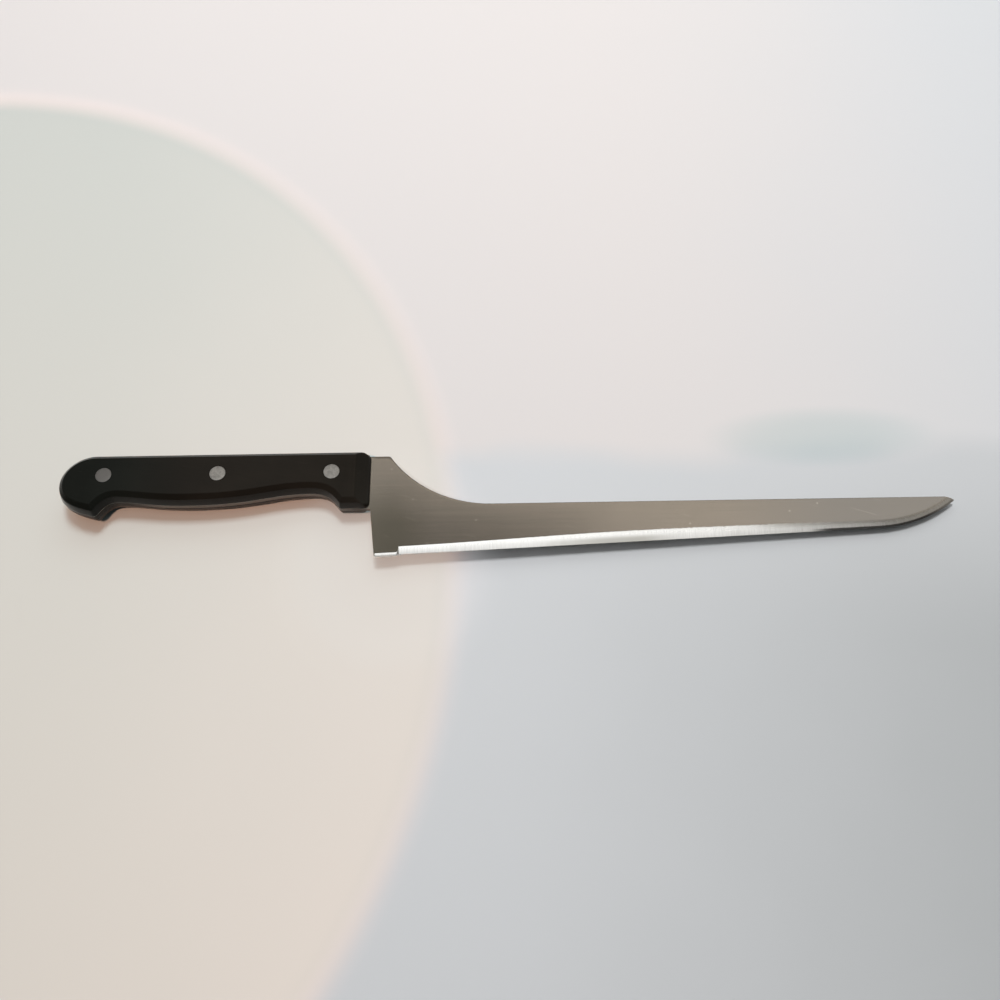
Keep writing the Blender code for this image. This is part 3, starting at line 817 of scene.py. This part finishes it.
def make_scale(name, side, material):
    """One scale with its rivet holes, on one side of the tang."""
    low_wall, high_wall, end, flat, back = scale_grids(side)
    top = BLADE_THICKNESS / 2 + SCALE_THICKNESS
    rim = HEAD_RADIUS + HEAD_GAP
    seat = top - HEAD_RECESS - HEAD_THICKNESS
    profile = [
        (rim + RIM_MARGIN, top),
        (rim + RIM_EASE, top),
        (rim + RIM_MIDDLE, top - RIM_MIDDLE),
        (rim, top - RIM_EASE),
        (rim, seat),
        (SLEEVE_RADIUS, seat),
        (SLEEVE_RADIUS, BLADE_THICKNESS / 2),
    ]
    profile = [(radius, side * height) for radius, height in profile]
    bores, keeps = zip(*[bored(flat, back, place, profile) for place in RIVET_PLACES])
    keep = np.all(keeps, axis=0)
    grids = [low_wall, high_wall, end, flat, back, *bores]
    scale = skinned(name, grids, [None, None, None, keep, keep, None, None, None])
    scale.data.materials.append(material)
    return scale


PLASTIC_LIGHT = (0.0104, 0.0106, 0.0088, 1)
PLASTIC_DARK = (0.0076, 0.0079, 0.0066, 1)
PLASTIC_TONES = (0.35, 0.65)
BUTT_PAINTED_SHADE = (0.55, 0.78, 0.85, 1)
BUTT_SHADE_FORWARD = (-155.0, -115.0)
SHEEN_GRAIN = 0.05
MOULDED_GRAIN = 3.2
WEAR_GRAIN = (0.1, 1.6, 1.6)
WEAR_TURN = 0.2
WEAR_CUT = (0.66, 0.7)
PLASTIC_RELIEF = 0.0000015
PLASTIC_ROUGHNESS = 0.18
CLOUDS_ADD = 0.08
SCRATCHES_ADD = 0.12

plastic, shader, place = finish("black_plastic", metallic=0.0, specular=0.12)
clouds = place.noise(SHEEN_GRAIN, detail=3.0)
grain = place.noise(MOULDED_GRAIN, rough=0.6)
wear = place.stretched(WEAR_GRAIN, WEAR_TURN).noise(detail=4.0, rough=0.7)
scratches = wear.between(*WEAR_CUT)
plastic_colour = (0.7 * clouds + 0.3 * wear).between(*PLASTIC_TONES).mixed(PLASTIC_DARK, PLASTIC_LIGHT)
# The butt is painted darker and less red, a painted shade that cancels the warm lamp's red there.
feed(
    shader,
    Base_Color=(1 - place.along("X").between(*BUTT_SHADE_FORWARD)).tinted(plastic_colour, BUTT_PAINTED_SHADE),
    Roughness=PLASTIC_ROUGHNESS + CLOUDS_ADD * (clouds - 0.5) + SCRATCHES_ADD * scratches,
    Normal=place.bump(PLASTIC_RELIEF * grain - PLASTIC_RELIEF * scratches),
)
handle_pieces = []
for name, side in (("right", 1), ("left", -1)):
    scale = make_scale(name + "_handle_scale", side, plastic)
    handle_pieces.append(scale)
    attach(scale, "root")
    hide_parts(name + "_scale")


# Rivets
#
# Three two-piece rivets of grey aluminium. A headed post is pressed into a headed sleeve from the
# other side, and both heads are ground flush with the scales and left matt.

HEAD_EASE = 0.00008
HEAD_EASE_POINTS = 4
PIN_RADIUS = 0.0010
PIN_END = 0.0046
RIVET_STEPS = 96
HEAD_TOP = BLADE_THICKNESS / 2 + SCALE_THICKNESS - HEAD_RECESS
HEAD_SEAT = HEAD_TOP - HEAD_THICKNESS


def turned(name, centre, profile):
    """Turned piece: a profile of radii and heights, from pole to pole, carried round an upright axis."""
    radius, height = np.array(profile).T[:, :, None]
    angle = np.linspace(0, 2 * math.pi, RIVET_STEPS + 1)
    u, v = centre[0] + radius * np.cos(angle), centre[1] + radius * np.sin(angle)
    return skinned(name, [placed(u, v, height)])


def head_profile(side):
    """Head of a rivet from its middle outwards and down to its seat, with an eased edge."""
    rounding = np.linspace(0, math.pi / 2, HEAD_EASE_POINTS)
    edge = HEAD_RADIUS - HEAD_EASE * (1 - np.sin(rounding))
    fall = HEAD_TOP - HEAD_EASE * (1 - np.cos(rounding))
    points = [(0.0, HEAD_TOP), (HEAD_RADIUS / 2, HEAD_TOP), *zip(edge, fall), (HEAD_RADIUS, HEAD_SEAT)]
    return [(radius, side * height) for radius, height in points]


RIVET_LIGHT = (0.77, 0.755, 0.73, 1)
RIVET_DARK = (0.54, 0.53, 0.51, 1)
REAR_RIVET_DARK = (0.385, 0.38, 0.375, 1)
RIVET_TONES = (0.35, 0.65)
REAR_RIVET_FORWARD = (-150.0, -120.0)
MOTTLE_GRAIN = 0.9
MOTTLE_DEPTH = 0.000003
FILING_GRAIN = (0.5, 7.0, 7.0)
FILING_TURN = 0.5
FILING_DEPTH = 0.000002
RIVET_ROUGHNESS = 0.5
MOTTLE_ADDS = 0.16

aluminium, shader, place = finish("matt_aluminium", metallic=1.0, specular=0.5)
mottle = place.noise(MOTTLE_GRAIN, detail=4.0, rough=0.65)
filing = place.stretched(FILING_GRAIN, FILING_TURN).noise(detail=3.0)
rivet_colour = (0.7 * mottle + 0.3 * filing).between(*RIVET_TONES).mixed(RIVET_DARK, RIVET_LIGHT)
# The rear rivet's colour is darker.
feed(
    shader,
    Base_Color=place.along("X").between(*REAR_RIVET_FORWARD).mixed(REAR_RIVET_DARK, rivet_colour),
    Roughness=RIVET_ROUGHNESS + MOTTLE_ADDS * (mottle - 0.5),
    Normal=place.bump(FILING_DEPTH * filing + MOTTLE_DEPTH * mottle),
)
post_shank = [(PIN_RADIUS, HEAD_SEAT), (PIN_RADIUS, -PIN_END), (0.0, -PIN_END)]
sleeve_shank = [(SLEEVE_RADIUS, -HEAD_SEAT), (SLEEVE_RADIUS, HEAD_SEAT), (PIN_RADIUS, HEAD_SEAT)]
sleeve_shank += [(PIN_RADIUS, -PIN_END), (0.0, -PIN_END)]
halves = {"post": head_profile(1) + post_shank, "sleeve": head_profile(-1) + sleeve_shank}
for rivet, centre in zip(RIVET_NAMES, RIVET_PLACES):
    for part, profile in halves.items():
        piece = turned(f"{rivet}_{part}", centre, profile)
        piece.data.materials.append(aluminium)
        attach(piece, "root")
        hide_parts(f"{rivet}_rivet_{part}")


# Paper
#
# A wide sheet of pale paper under the knife, which rests on the front line of its left scale. The
# sheet leans a little towards the tip, which hovers 2 mm above it, and is unevenly toned.

REST_LINE = FRONT - FRONT_SLOPE_LENGTH
TIP_CLEARANCE = 0.0020
TIP_UNDERSIDE = MIDDLE - TIP_THICKNESS / 2
PAPER_LEAN = math.atan2(TIP_UNDERSIDE - TIP_CLEARANCE, FRONT + BLADE_LENGTH - REST_LINE)
PAPER_SIZE = 4.0
PAPER_ROUGHNESS = 0.7

# Under the warm lamp the paper is darker and cooler, which evens out the lamp's own light. Behind the
# knife it is palest, turning to the right into a painted cool shade, which covers the open paper in
# front, grows greyer to the right there and lies as a cool cloud behind the tip. The heel lamp's pool
# is evened out too. Places are in millimetres from the sheet's middle, and a TONE multiplies the colour.
PAPER_POOL_LEFT = (0.436, 0.547, 0.565, 1)
PAPER_POOL_RIGHT = (0.491, 0.590, 0.608, 1)
PAPER_BEHIND = (0.80, 0.777, 0.785, 1)
PAPER_COOL_SHADE = (0.718, 0.75, 0.79, 1)
PAPER_FAR_SHADE = (0.515, 0.545, 0.568, 1)
POOL_MIDDLE = (-203.4, -24.0, 0.0)
POOL_STRETCH = (1.0, 0.939, 0.0)
POOL_EDGE = (234.6, 247.8)
POOL_FORWARD = (-140.0, 40.0)
FAR_FORWARD = (10.0, 290.0)
FAR_UPWARD = (-60.0, 20.0)
FAR_LOSS = 0.65
BEHIND_FORWARD = (100.0, 330.0)
BEHIND_UPWARD = (14.0, 32.0)
WANDER_GRAIN = 0.012
WANDER_FORWARD = 50.0
WANDER_UPWARD = 30.0
HEEL_MIDDLE = (13.6, -22.0, 0.0)
HEEL_STRETCH = (1.0, 0.884, 0.0)
HEEL_REACH = 45.0
HEEL_TONE = (0.785, 0.745, 0.73, 1)
CLOUD_MIDDLE = (188.0, 29.6, 0.0)
CLOUD_STRETCH = (1.0, 3.35, 0.0)
CLOUD_REACH = 52.0
CLOUD_SHADE_TONE = (0.84, 0.91, 0.91, 1)

bpy.ops.mesh.primitive_plane_add(size=PAPER_SIZE, location=(REST_LINE, 0, 0), rotation=(0, -PAPER_LEAN, 0))
paper = bpy.context.object
paper.name = "paper"
paper_finish, shader, place = finish("pale_paper", metallic=0.0, specular=0.2)
shader.inputs["Roughness"].default_value = PAPER_ROUGHNESS
from_pool = place.distance(POOL_MIDDLE, POOL_STRETCH)
wander = place.noise(WANDER_GRAIN) - 0.5
forward = place.along("X") + WANDER_FORWARD * wander
upward = place.along("Y") + WANDER_UPWARD * wander
# Painted shade: the open paper is a cool shade in front, greyer to the right.
deeper_shade = forward.between(*FAR_FORWARD) * (1 - FAR_LOSS * upward.between(*FAR_UPWARD))
front_colour = deeper_shade.mixed(PAPER_COOL_SHADE, PAPER_FAR_SHADE)
behind_colour = forward.between(*BEHIND_FORWARD).mixed(PAPER_BEHIND, PAPER_COOL_SHADE)
open_colour = upward.between(*BEHIND_UPWARD).mixed(front_colour, behind_colour)
pool_colour = forward.between(*POOL_FORWARD).mixed(PAPER_POOL_LEFT, PAPER_POOL_RIGHT)
paper_colour = from_pool.between(*POOL_EDGE).mixed(pool_colour, open_colour)
paper_colour = place.near(HEEL_MIDDLE, HEEL_STRETCH, HEEL_REACH).tinted(paper_colour, HEEL_TONE)
# A cool cloud of painted shade behind the tip.
paper_colour = place.near(CLOUD_MIDDLE, CLOUD_STRETCH, CLOUD_REACH).tinted(paper_colour, CLOUD_SHADE_TONE)
feed(shader, Base_Color=paper_colour)
paper.data.materials.append(paper_finish)


# Lamps and room
#
# A dim room, darkest in front. A small key lamp and a wide sky panel hang behind the knife and a fill
# panel over it. Three more panels are what the steel and the scales mirror, and two spots in front
# light the handle warmly and the heel.

ROOM_HIGH = (0.188, 0.176, 0.160, 1)
ROOM_LOW = (0.45, 0.44, 0.42, 1)
ROOM_FRONT = (0.07, 0.065, 0.06, 1)
ROOM_UPWARD = (0.0, 0.7)
ROOM_BACKWARD = (-0.5, 0.3)
PANEL_HEIGHT = 1.20
FILL_RISE = 0.05
SPOT_RADIUS = 0.004

world = bpy.data.worlds.new("room")
world.use_nodes = True
bpy.context.scene.world = world
background = world.node_tree.nodes["Background"]
direction = Shade(world.node_tree.nodes.new("ShaderNodeTexCoord").outputs["Generated"])
room = direction.along("Z").between(*ROOM_UPWARD).mixed(ROOM_LOW, ROOM_HIGH)
feed(background, Color=direction.along("Y").between(*ROOM_BACKWARD).mixed(ROOM_FRONT, room))


def hang(lamp, tint, watts, place, aim=None, spin=0.0):
    """Put a lamp in its place, facing straight down and turned, or facing a point."""
    lamp.color = tint
    lamp.energy = watts
    holder = bpy.data.objects.new(lamp.name, lamp)
    holder.location = place
    holder.rotation_euler = (0, 0, spin)
    if aim:
        holder.rotation_euler = (Vector(place) - Vector(aim)).to_track_quat("Z", "Y").to_euler()
    bpy.context.scene.collection.objects.link(holder)
    return holder


def panel(name, tint, radiance, place, size, spin=0.0):
    """Rectangular lamp facing down, whose power is its radiance times pi times its area."""
    lamp = bpy.data.lights.new(name, "AREA")
    lamp.shape = "RECTANGLE"
    lamp.size, lamp.size_y = size
    return hang(lamp, tint, radiance * math.pi * size[0] * size[1], (*place, PANEL_HEIGHT), spin=spin)


key = panel("key", (1.0, 0.98, 0.96), radiance=33.7, place=(0.0, 0.40), size=(0.30, 0.30))
sky = panel("sky", (1.0, 0.99, 0.97), radiance=1.2, place=(0.0, 1.60), size=(2.40, 1.60))
fill = panel("fill", (1.0, 1.0, 1.0), radiance=0.56, place=(-0.04, -0.19), size=(1.06, 0.62))
edge_panel = panel(
    "edge_panel", (1.0, 1.0, 1.0), radiance=1.15, place=(-0.02, -0.25), size=(1.14, 0.75),
    spin=math.radians(23),
)
panel(
    "far_panel", (1.0, 0.91, 0.80), radiance=0.45, place=(0.545, 0.667), size=(1.50, 0.70),
    spin=math.radians(-27),
)
panel("handle_panel", (1.0, 0.98, 0.92), radiance=0.56, place=(-0.48, 0.62), size=(0.40, 0.60))

# The steel mirrors none of the first three lamps. The fill panel is raised, because it would hide the
# edge panel at its own height from mirrored rays, and the edge panel lights nothing but reflections.
for lamp in (key, sky, fill):
    lamp.visible_glossy = False
fill.location.z += FILL_RISE
edge_panel.visible_diffuse = False


def beam(name, tint, watts, place, aim, half_angle, blend):
    """Spot lamp that nothing mirrors, whose cone is softened inwards by a share of its width."""
    lamp = bpy.data.lights.new(name, "SPOT")
    lamp.spot_size = 2 * half_angle
    lamp.spot_blend = blend
    lamp.shadow_soft_size = SPOT_RADIUS
    holder = hang(lamp, tint, watts, place, aim)
    holder.visible_glossy = False
    return holder


warm = beam(
    "warm", (1.0, 0.49, 0.333), watts=33.0, place=(-0.262, -0.40, 1.0), aim=(-0.262, -0.045, 0.0),
    half_angle=math.radians(13.1), blend=0.1,
)
beam(
    "heel", (1.0, 1.0, 1.0), watts=22.8, place=(-0.045, -0.55, 1.0), aim=(-0.045, -0.022, 0.0),
    half_angle=math.radians(2.28), blend=1.0,
)

# The scales alone throw a shadow in the warm light, so the paper behind the blade stays untinted.
warm.light_linking.blocker_collection = bpy.data.collections.new("warm_blockers")
for piece in handle_pieces:
    warm.light_linking.blocker_collection.objects.link(piece)


# Camera
#
# It looks down on the blade's middle plane from the edge's side, 26 degrees off the upright, rolled by
# a degree and 0.39 m away.

CAMERA_TILT = math.radians(26)
CAMERA_ROLL = math.radians(-0.95)
CAMERA_DISTANCE = 0.392
AIM_FORWARD = 0.0510
AIM_UP = -0.01967
SENSOR_WIDTH = 36.0
FOCAL_LENGTH = 36.0
NEAREST_SEEN = 0.01

camera = bpy.data.cameras.new("camera")
camera.sensor_width = SENSOR_WIDTH
camera.lens = FOCAL_LENGTH
camera.clip_start = NEAREST_SEEN
viewer = bpy.data.objects.new("camera", camera)
aim = Matrix.Translation((FRONT + AIM_FORWARD, SPINE + AIM_UP, MIDDLE))
turned_round = Matrix.Rotation(CAMERA_TILT, 4, "X") @ Matrix.Rotation(CAMERA_ROLL, 4, "Z")
viewer.matrix_world = aim @ turned_round @ Matrix.Translation((0, 0, CAMERA_DISTANCE))
bpy.context.scene.collection.objects.link(viewer)
bpy.context.scene.camera = viewer
bpy.context.scene.view_settings.view_transform = "Standard"
